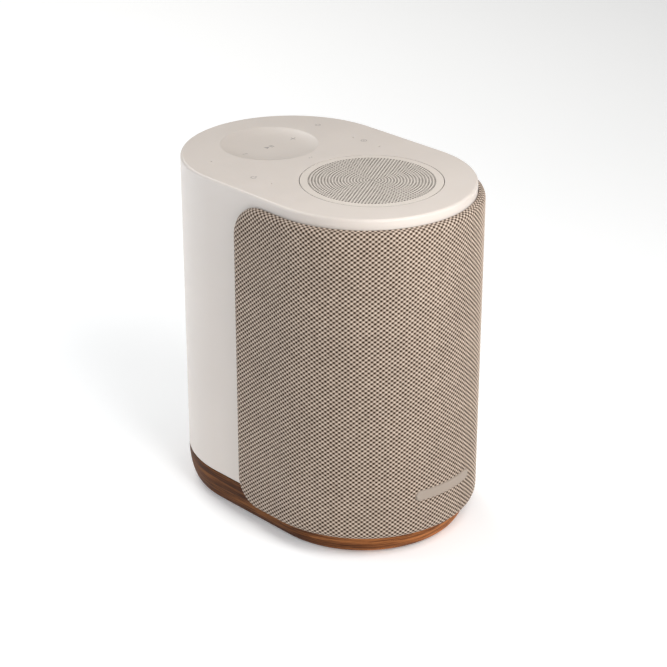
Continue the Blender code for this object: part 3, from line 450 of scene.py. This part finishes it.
def new_piece(name, mesh, material, slot, body, *nodes, sharp=30):
    """A finished piece: its material, the body it rides on and the nodes it stands for; the slot argument is
    not used.
    """
    piece = bpy.data.objects.new(name, mesh)
    bpy.context.scene.collection.objects.link(piece)
    mesh.materials.clear()
    mesh.materials.append(material)
    mesh.shade_smooth()
    mesh.set_sharp_from_angle(angle=math.radians(sharp))
    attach(piece, body)
    if nodes:
        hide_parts(*nodes)
    return piece


def mesh_of(bm, name):
    """The finished mesh, with every face pointing out."""
    bmesh.ops.recalc_face_normals(bm, faces=bm.faces)
    if bm.calc_volume(signed=True) < 0:
        bmesh.ops.reverse_faces(bm, faces=bm.faces)
    mesh = bpy.data.meshes.new(name)
    bm.to_mesh(mesh)
    bm.free()
    return mesh


def circle(x, y, radius, steps):
    """Points round a circle, anticlockwise."""
    return [(x + radius * math.cos(math.tau * i / steps), y + radius * math.sin(math.tau * i / steps))
            for i in range(steps)]


def stadium_ring(bm, radius, z, steps=ARC_STEPS):
    """One ring of points round the stadium of this radius."""
    ring = []
    for centre_y, start in ((FRONT_ARC_Y, math.pi), (REAR_ARC_Y, 0.0)):
        for i in range(steps + 1):
            angle = start + math.pi * i / steps
            ring.append(bm.verts.new((radius * math.cos(angle), centre_y + radius * math.sin(angle), z)))
    return ring


def stadium_loft(name, profile):
    """A capped loft through stadiums of (radius, height)."""
    bm = bmesh.new()
    rings = [stadium_ring(bm, radius, z) for radius, z in profile]
    bm.faces.new(rings[0])
    bm.faces.new(rings[-1])
    for lower, upper in zip(rings, rings[1:]):
        for i in range(len(lower)):
            j = (i + 1) % len(lower)
            bm.faces.new((lower[i], lower[j], upper[j], upper[i]))
    return mesh_of(bm, name)


def cylinder(name, radius, low, high, centres, axis="Z", steps=64):
    """Equal cylinders as one cutter, between two heights along an axis."""
    bm = bmesh.new()
    for across, up in centres:
        made = bmesh.ops.create_cone(
            bm, cap_ends=True, segments=steps, radius1=radius, radius2=radius, depth=high - low)["verts"]
        for vert in made:
            u, v, along = vert.co.x + across, vert.co.y + up, vert.co.z + (low + high) / 2
            vert.co = (u, v, along) if axis == "Z" else (u, along, v)
    return mesh_of(bm, name)


def prism(name, outline, start, end, axis):
    """A flat outline extruded from start to end along X, Y or Z."""
    bm = bmesh.new()
    rings = []
    for along in (start, end):
        ring = []
        for u, v in outline:
            ring.append(bm.verts.new({"X": (along, u, v), "Y": (u, along, v), "Z": (u, v, along)}[axis]))
        rings.append(ring)
        bm.faces.new(ring)
    for i in range(len(outline)):
        j = (i + 1) % len(outline)
        bm.faces.new((rings[0][i], rings[0][j], rings[1][j], rings[1][i]))
    return mesh_of(bm, name)


def rounded_outline(low, high, corner, steps=10):
    """Corner points of a rounded rectangle, anticlockwise."""
    points = []
    corners = ((high[0], high[1], 0), (low[0], high[1], 1), (low[0], low[1], 2), (high[0], low[1], 3))
    for x, y, quarter in corners:
        centre_x = x + (-corner if x == high[0] else corner)
        centre_y = y + (-corner if y == high[1] else corner)
        for i in range(steps + 1):
            angle = math.pi / 2 * (quarter + i / steps)
            points.append((centre_x + corner * math.cos(angle), centre_y + corner * math.sin(angle)))
    return points


def turned(name, profile, centre, steps=96):
    """A closed turned solid: (radius, height) points from the axis at the top round to the axis below."""
    bm = bmesh.new()
    rings = []
    for radius, height in profile:
        if radius == 0:
            rings.append([bm.verts.new((centre.x, centre.y, height))])
            continue
        rings.append([bm.verts.new((x, y, height)) for x, y in circle(centre.x, centre.y, radius, steps)])
    for upper, lower in zip(rings, rings[1:]):
        for i in range(steps):
            j = (i + 1) % steps
            if len(upper) == 1:
                bm.faces.new((upper[0], lower[i], lower[j]))
            elif len(lower) == 1:
                bm.faces.new((upper[i], upper[j], lower[0]))
            else:
                bm.faces.new((upper[i], upper[j], lower[j], lower[i]))
    return mesh_of(bm, name)


def carve(mesh, name, *steps):
    """The mesh after Booleans: each step is an operation and the other mesh."""
    target = bpy.data.objects.new(name + "_work", mesh)
    bpy.context.scene.collection.objects.link(target)
    others = []
    for operation, other in steps:
        tool = bpy.data.objects.new(name + "_tool", other)
        bpy.context.scene.collection.objects.link(tool)
        others.append(tool)
        modifier = target.modifiers.new("carve", "BOOLEAN")
        modifier.operation = operation
        modifier.solver = "EXACT"
        modifier.object = tool
    bpy.context.view_layer.update()
    carved = bpy.data.meshes.new_from_object(target.evaluated_get(bpy.context.evaluated_depsgraph_get()))
    for item in (target, *others):
        bpy.data.objects.remove(item, do_unlink=True)
    carved.name = name
    return carved


# ---------------------------------------------------------------- cabinet

def dish_drop(radius):
    """How far the finger dish lies below the top at this distance from its centre."""
    return DISH_DEPTH * (1 - min(radius / DISH_RADIUS, 1.0) ** 4)


def make_shell(materials):
    """The white moulding: a rounded rim, the finger dish, the grille's seat and the niche at the back."""
    inner = SHELL_RADIUS - WALL
    profile = [(inner, TOP - WALL), (inner, SHELL_LOW.z), (SHELL_RADIUS - SHELL_LIP, SHELL_LOW.z)]
    profile.append((SHELL_RADIUS, SHELL_LOW.z + SHELL_LIP))
    for i in range(9):
        angle = math.pi / 2 * i / 8
        profile.append((SHELL_RADIUS - RIM_ROUNDING * (1 - math.cos(angle)),
                        TOP - RIM_ROUNDING * (1 - math.sin(angle))))
    body = stadium_loft("shell", profile)

    boss = cylinder("boss", DISH_RADIUS + 1.8 * MM, TOP - 4.7 * MM, TOP - 1.5 * MM, [DISH_CENTRE.xy])
    lift = 0.01 * MM
    bowl = [(0.0, TOP + 4 * MM), (DISH_RADIUS, TOP + 4 * MM)]
    bowl_steps = 30
    for i in range(bowl_steps + 1):
        radius = DISH_RADIUS * (1 - i / bowl_steps)
        bowl.append((radius, TOP + lift - dish_drop(radius)))
    dish = turned("dish", bowl, DISH_CENTRE)

    window = prism("window", rounded_outline(WINDOW_LOW, WINDOW_HIGH, WINDOW_CORNER),
                   -80 * MM, 80 * MM, "X")
    grille_at = [GRILLE_CENTRE.xy]
    seat = cylinder("seat", GRILLE_RADIUS + SEAT_GAP, GRILLE_LOW.z - 0.2 * MM, TOP + 5 * MM,
                    grille_at, steps=144)
    throat = cylinder("throat", THROAT_RADIUS, TOP - 10 * MM, TOP + 5 * MM, grille_at, steps=96)
    ports = cylinder("ports", PORT_RADIUS, TOP - 10 * MM, TOP + 5 * MM,
                     [(x * MM, y * MM) for x, y in MICROPHONES], steps=16)
    niche = prism("niche", rounded_outline(NICHE_LOW, NICHE_HIGH, NICHE_CORNER), 60 * MM, 100 * MM, "Y")
    mesh = carve(body, "shell_moulding", ("UNION", boss), ("DIFFERENCE", dish), ("DIFFERENCE", window),
                 ("DIFFERENCE", seat), ("DIFFERENCE", throat), ("DIFFERENCE", ports), ("DIFFERENCE", niche))
    shell = new_piece("shell_moulding", mesh, materials["white_shell"], "white_shell", "cabinet",
                      "cabinet_shell")
    flat = shell.modifiers.new("flat_faces", "WEIGHTED_NORMAL")
    flat.keep_sharp = True
    flat.weight = 100


def make_grille(materials):
    """The round cover, with a hole at its centre and six more in each ring round it than in the last."""
    centre = GRILLE_CENTRE
    edge = 0.2 * MM
    edge_steps = 144
    hole_steps = 10
    outer = GRILLE_RADIUS
    loops = [circle(centre.x, centre.y, outer - edge, edge_steps)]
    places = [(0.0, 0.0)]
    for ring in range(1, HOLE_RINGS + 1):
        for i in range(6 * ring):
            angle = math.tau * i / (6 * ring) + math.pi / 6
            places.append((ring * HOLE_PITCH * math.cos(angle), ring * HOLE_PITCH * math.sin(angle)))
    for x, y in places:
        loops.append(circle(centre.x + x, centre.y + y, HOLE_RADIUS, hole_steps))
    corners = [point for loop in loops for point in loop]
    owner = [number for number, loop in enumerate(loops) for _ in loop]
    flat = delaunay_2d_cdt([Vector(point) for point in corners], [], [], 0, 1e-7)
    origin = [ids[0] for ids in flat[3]]
    triangles = []
    for face in flat[2]:
        a, b, c = (origin[k] for k in face)
        if owner[a] == owner[b] == owner[c] != 0:
            continue
        triangles.append((a, b, c))

    bm = bmesh.new()
    top, bottom = TOP, TOP - PLATE_THICKNESS
    upper = [bm.verts.new((x, y, top)) for x, y in corners]
    lower = [bm.verts.new((x, y, bottom)) for x, y in corners]
    sides = {}
    for a, b, c in triangles:
        bm.faces.new((upper[a], upper[b], upper[c]))
        bm.faces.new((lower[c], lower[b], lower[a]))
        for pair in ((a, b), (b, c), (c, a)):
            key = (min(pair), max(pair))
            sides[key] = None if key in sides else pair
    rim = {}
    for pair in (found for found in sides.values() if found):
        a, b = pair
        reach = min(math.hypot(corners[k][0] - centre.x, corners[k][1] - centre.y) for k in pair)
        if reach <= outer - 2 * edge:
            bm.faces.new((upper[b], upper[a], lower[a], lower[b]))
            continue
        for k in pair:
            if k not in rim:
                out = Vector((corners[k][0] - centre.x, corners[k][1] - centre.y)).normalized() * outer
                rim[k] = (bm.verts.new((centre.x + out.x, centre.y + out.y, top - edge)),
                          bm.verts.new((centre.x + out.x, centre.y + out.y, bottom)))
        bm.faces.new((upper[b], upper[a], rim[a][0], rim[b][0]))
        bm.faces.new((rim[b][0], rim[a][0], rim[a][1], rim[b][1]))
        bm.faces.new((rim[b][1], rim[a][1], lower[a], lower[b]))
    ledge = GRILLE_LEDGE_RADIUS
    rings = []
    for radius, z in ((ledge, bottom), (outer, bottom), (outer, GRILLE_LOW.z), (ledge, GRILLE_LOW.z)):
        rings.append([bm.verts.new((x, y, z)) for x, y in circle(centre.x, centre.y, radius, edge_steps)])
    for upper_ring, lower_ring in zip(rings, (*rings[1:], rings[0])):
        for i in range(edge_steps):
            j = (i + 1) % edge_steps
            bm.faces.new((upper_ring[i], upper_ring[j], lower_ring[j], lower_ring[i]))
    mesh = mesh_of(bm, "perforated_grille")
    new_piece("perforated_grille", mesh, materials["white_grille"], "white_grille", "cabinet", "top_grille")


# ---------------------------------------------------------------- curved panels

def around_front(along, radius):
    """The point this far round the front from its middle, measured on the cloth, at this radius."""
    quarter = math.pi / 2 * FABRIC_RADIUS
    if abs(along) <= quarter:
        angle = along / FABRIC_RADIUS
        return radius * math.sin(angle), FRONT_ARC_Y - radius * math.cos(angle)
    return math.copysign(radius, along), FRONT_ARC_Y + abs(along) - quarter


def inside_by(along, z, half, low, high, corner):
    """How far a point lies inside a rounded rectangle."""
    across = abs(along) - (half - corner)
    up = abs(z - (low + high) / 2) - ((high - low) / 2 - corner)
    return corner - math.hypot(max(across, 0.0), max(up, 0.0)) - min(max(across, up), 0.0)


def half_width_at(z, half, low, high, corner):
    """The half-width of a rounded rectangle at this height."""
    reach = max(low + corner - z, z - (high - corner), 0.0)
    return half - corner + math.sqrt(max(corner * corner - reach * reach, 0.0))


def on_flat_cloth(along, z, depth, half, low, high, corner, roll):
    """Where a point of the panel lies on the flat cloth, whose rolled edge is longer than it looks."""
    if depth >= roll:
        return along, z
    extra = roll * math.asin(1 - depth / roll) - (roll - depth)
    middle = (low + high) / 2
    across = max(abs(along) - (half - corner), 0.0)
    up = max(abs(z - middle) - ((high - low) / 2 - corner), 0.0)
    outward = Vector((across, up)).normalized()
    return along + math.copysign(outward.x * extra, along), z + math.copysign(outward.y * extra, z - middle)


def curved_panel(name, half, low, high, corners, inner, outer, roll, step_across, step_up, relief):
    """A skin round the front whose edges roll back from the outer radius to the inner one."""
    rows = round((high - low) / step_up)
    columns = round(half / step_across)
    bm = bmesh.new()
    weave = bm.loops.layers.uv.new("weave")
    cells = {}
    grid = []
    for j in range(rows + 1):
        z = low + (high - low) * j / rows
        corner = corners[0] if z < (low + high) / 2 else corners[1]
        limit = half_width_at(z, half, low, high, corner)
        row = []
        last = None
        for i in range(-columns, columns + 1):
            along = max(-limit, min(limit, i * step_across))
            if i in (-columns, columns):
                along = math.copysign(limit, i)
            if row and abs(along - last) < 1e-7:
                row.append(row[-1])
                continue
            depth = max(0.0, inside_by(along, z, half, low, high, corner))
            lift = math.sqrt(max(0.0, 1 - (1 - min(depth / roll, 1.0)) ** 2))
            flat = on_flat_cloth(along, z, depth, half, low, high, corner, roll)
            radius = inner + (outer - inner) * lift + relief(*flat) * min(depth / (1.5 * MM), 1.0)
            x, y = around_front(along, radius)
            vert = bm.verts.new((x, y, z))
            cells[vert] = (flat[0] / CELL_WIDTH, flat[1] / CELL_HEIGHT)
            row.append(vert)
            last = along
        grid.append(row)
    for lower, upper in zip(grid, grid[1:]):
        for i in range(len(lower) - 1):
            face = []
            for vert in (lower[i], lower[i + 1], upper[i + 1], upper[i]):
                if vert not in face:
                    face.append(vert)
            if len(face) > 2:
                bm.faces.new(face)
    for face in bm.faces:
        for loop in face.loops:
            loop[weave].uv = cells[loop.vert]
    bm.normal_update()
    mesh = bpy.data.meshes.new(name)
    bm.to_mesh(mesh)
    bm.free()
    return mesh


def weave_relief(along, z):
    """The height of the cloth's knots and pits, in metres."""
    return -RELIEF * math.cos(math.tau * along / CELL_WIDTH) * math.cos(math.tau * z / CELL_HEIGHT)


def make_fabric(materials):
    """The cloth stretched over the front lattice, woven in relief, rolled back at its edges."""
    half = math.pi / 2 * FABRIC_RADIUS + PANEL_EDGE_Y - FRONT_ARC_Y
    low, high = FABRIC_LOW.z, FABRIC_HIGH.z
    corners = (PANEL_CORNER, PANEL_TOP_CORNER)
    mesh = curved_panel("front_cloth", half, low, high, corners, SHELL_RADIUS + 0.35 * MM,
                        FABRIC_RADIUS - RELIEF, PANEL_ROLL, CELL_WIDTH / 4, CELL_HEIGHT / 4, weave_relief)
    cloth = new_piece("front_cloth", mesh, materials["beige_fabric"], "beige_fabric", "cabinet",
                      "front_fabric", sharp=180)


def make_badge(materials):
    """A plain rounded bar, low in the middle of the cloth."""
    half = (BADGE_HIGH.x - BADGE_LOW.x) / 2
    outer = FRONT_ARC_Y - BADGE_LOW.y
    mesh = curved_panel("badge_bar", half, BADGE_LOW.z, BADGE_HIGH.z, (2.7 * MM, 2.7 * MM),
                        FABRIC_RADIUS - 0.3 * MM, outer, 0.8 * MM, 0.35 * MM, 0.2 * MM,
                        lambda along, z: 0.0)
    new_piece("badge_bar", mesh, materials["badge"], "badge", "cabinet", "front_badge", sharp=60)


# ---------------------------------------------------------------- base

def make_wood(materials):
    """The bowl-sided wooden base, with its pocket, its recess for the foot and its screw holes."""
    top, bottom = WOOD_HIGH.z, WOOD_LOW.z
    side = [(WOOD_HIGH.x - WOOD_ROUNDING, top), (WOOD_HIGH.x - 0.15 * MM, top - 0.15 * MM)]
    for i in range(1, 19):
        angle = WOOD_CURVE_ANGLE * i / 18
        radius = WOOD_FOOT_RADIUS + (WOOD_HIGH.x - WOOD_FOOT_RADIUS) * math.cos(angle)
        side.append((radius, top - (top - bottom) * math.sin(angle) / math.sin(WOOD_CURVE_ANGLE)))
    recess = FOOT_HIGH.x + FOOT_GAP
    pocket = WOOD_POCKET_RADIUS
    profile = [(pocket, WOOD_POCKET_FLOOR), (pocket, top), *side,
               (recess, bottom), (recess, FOOT_HIGH.z + FOOT_GAP)]
    body = stadium_loft("wood", profile)
    places = []
    for number in range(1, 5):
        low, high = (Vector(corner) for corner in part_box(f"base_screw_{number}"))
        places.append(((low + high) / 2).xy)
    mesh = carve(body, "walnut_base",
                 ("DIFFERENCE", cylinder("holes", SCREW_HOLE_RADIUS, -MM, 14 * MM, places, steps=24)),
                 ("DIFFERENCE", cylinder("heads", SCREW_HEAD_RADIUS, -MM, SCREW_HEAD_TOP, places, steps=32)))
    new_piece("walnut_base", mesh, materials["walnut"], "walnut", "cabinet", "wood_base")


# ---------------------------------------------------------------- touch marks

def ring_strip(radius, width, start=0.0, end=360.0, steps=28):
    """The outline of part of a ring, as quads in the plane."""
    quads = []
    for i in range(steps):
        a = math.radians(start + (end - start) * i / steps)
        b = math.radians(start + (end - start) * (i + 1) / steps)
        quads.append([((radius + side * width / 2) * math.cos(t), (radius + side * width / 2) * math.sin(t))
                      for t, side in ((a, -1), (a, 1), (b, 1), (b, -1))])
    return quads


def bar(x0, y0, x1, y1):
    """A rectangle cut into short quads, so that it can follow a curved surface."""
    steps = 6
    quads = []
    for i in range(steps):
        low, high = x0 + (x1 - x0) * i / steps, x0 + (x1 - x0) * (i + 1) / steps
        quads.append([(low, y0), (high, y0), (high, y1), (low, y1)])
    return quads


def make_mark(name, centre, shapes, ink):
    """A printed mark: thin quads a hair above the top's surface."""
    bm = bmesh.new()
    for shape in shapes:
        corners = []
        for u, v in shape:
            x, y = (centre[0] + u) * MM, (centre[1] + v) * MM
            drop = dish_drop(math.hypot(x - DISH_CENTRE.x, y - DISH_CENTRE.y))
            corners.append(bm.verts.new((x, y, TOP + 0.03 * MM - drop)))
        bm.faces.new(corners)
    bmesh.ops.remove_doubles(bm, verts=bm.verts, dist=0.00001)
    bm.normal_update()
    for face in bm.faces:
        if face.normal.z < 0:
            face.normal_flip()
    mesh = bpy.data.meshes.new(name)
    bm.to_mesh(mesh)
    bm.free()
    new_piece(name, mesh, ink, "white_shell", "cabinet")


def make_marks():
    """Generic touch marks: play and pause, softer and louder, and small signs round the top."""
    ink = grained("printed_ink", (0.30, 0.27, 0.25), 0.55, 3000.0, 0.000004, change=0.05).material
    middle = DISH_CENTRE.y / MM
    make_mark("mark_play_pause", (0.0, middle), [
        [(-2.6, -1.6), (0.1, 0.0), (-2.6, 1.6)], *bar(0.7, -1.5, 1.3, 1.5), *bar(1.9, -1.5, 2.5, 1.5),
    ], ink)
    make_mark("mark_softer", (-17.0, middle), bar(-1.7, -0.25, 1.7, 0.25), ink)
    make_mark("mark_louder", (17.0, middle), [
        *bar(-1.7, -0.25, 1.7, 0.25), *bar(-0.25, 0.25, 0.25, 1.7), *bar(-0.25, -1.7, 0.25, -0.25),
    ], ink)
    make_mark("mark_link", (-40.0, 13.55), [*ring_strip(1.3, 0.4, 40, 320), *bar(0.6, -0.2, 2.4, 0.2)], ink)
    make_mark("mark_mute", (38.3, 14.0), [*ring_strip(1.5, 0.35), *bar(-0.2, -0.9, 0.2, 0.9)], ink)
    make_mark("mark_power", (38.0, 48.7), [*ring_strip(1.3, 0.35, 130, 410), *bar(-0.2, 0.4, 0.2, 1.8)], ink)
    dot = ring_strip(0.2, 0.4, steps=10)
    second_dot = [[(x + 1.6, y) for x, y in quad] for quad in dot]
    make_mark("mark_dots", (-0.4, 14.7), [*dot, *second_dot], ink)


# ---------------------------------------------------------------- stage and light

def make_floor():
    """A plain pale floor, which gives a little light of its own."""
    size = 4.0
    corners = [(-size, -size, 0), (size, -size, 0), (size, size, 0), (-size, size, 0)]
    mesh = bpy.data.meshes.new("floor")
    mesh.from_pydata(corners, [], [(0, 1, 2, 3)])
    floor = bpy.data.objects.new("floor", mesh)
    bpy.context.scene.collection.objects.link(floor)
    look = Look("floor", (0.97, 0.97, 0.97), 0.9)
    look.set("Specular IOR Level", 0.0)
    look.set("Emission Color", (1.0, 1.0, 1.0, 1.0))
    look.set("Emission Strength", 0.16)
    mesh.materials.append(look.material)


def area_light(name, azimuth, elevation, distance, size, power, colour=(1.0, 1.0, 1.0)):
    """A square softbox that looks at the middle of the speaker."""
    data = bpy.data.lights.new(name, "AREA")
    data.shape = "SQUARE"
    data.size = size
    data.energy = power
    data.color = colour
    place_at(name, data, azimuth, elevation, distance, Vector((0.0, 0.0, 0.09)))


def make_light():
    """A dim white world and five softboxes."""
    world = bpy.data.worlds.new("world")
    bpy.context.scene.world = world
    world.use_nodes = True
    background = world.node_tree.nodes["Background"]
    background.inputs["Color"].default_value = (1.0, 1.0, 1.0, 1.0)
    background.inputs["Strength"].default_value = 0.15
    area_light("behind_box", 170, 45, 1.6, 1.0, 14.5, (1.0, 0.995, 0.975))
    area_light("rim_box", -140, 10, 0.8, 0.4, 2.9, (0.92, 0.99, 1.07))
    area_light("key_box", -10, 12, 1.6, 0.8, 12.5)
    area_light("near_key_box", -5, 48, 0.5, 0.3, 1.75)
    area_light("right_box", 45, 20, 1.6, 1.0, 2.4)
    bpy.context.scene.view_settings.view_transform = "Standard"
    bpy.context.scene.view_settings.look = "None"


# ---------------------------------------------------------------- all of it

make_camera()
finishes = slot_materials()
dress_cad_nodes(finishes)
make_shell(finishes)
make_grille(finishes)
make_fabric(finishes)
make_badge(finishes)
make_wood(finishes)
make_marks()
make_floor()
make_light()
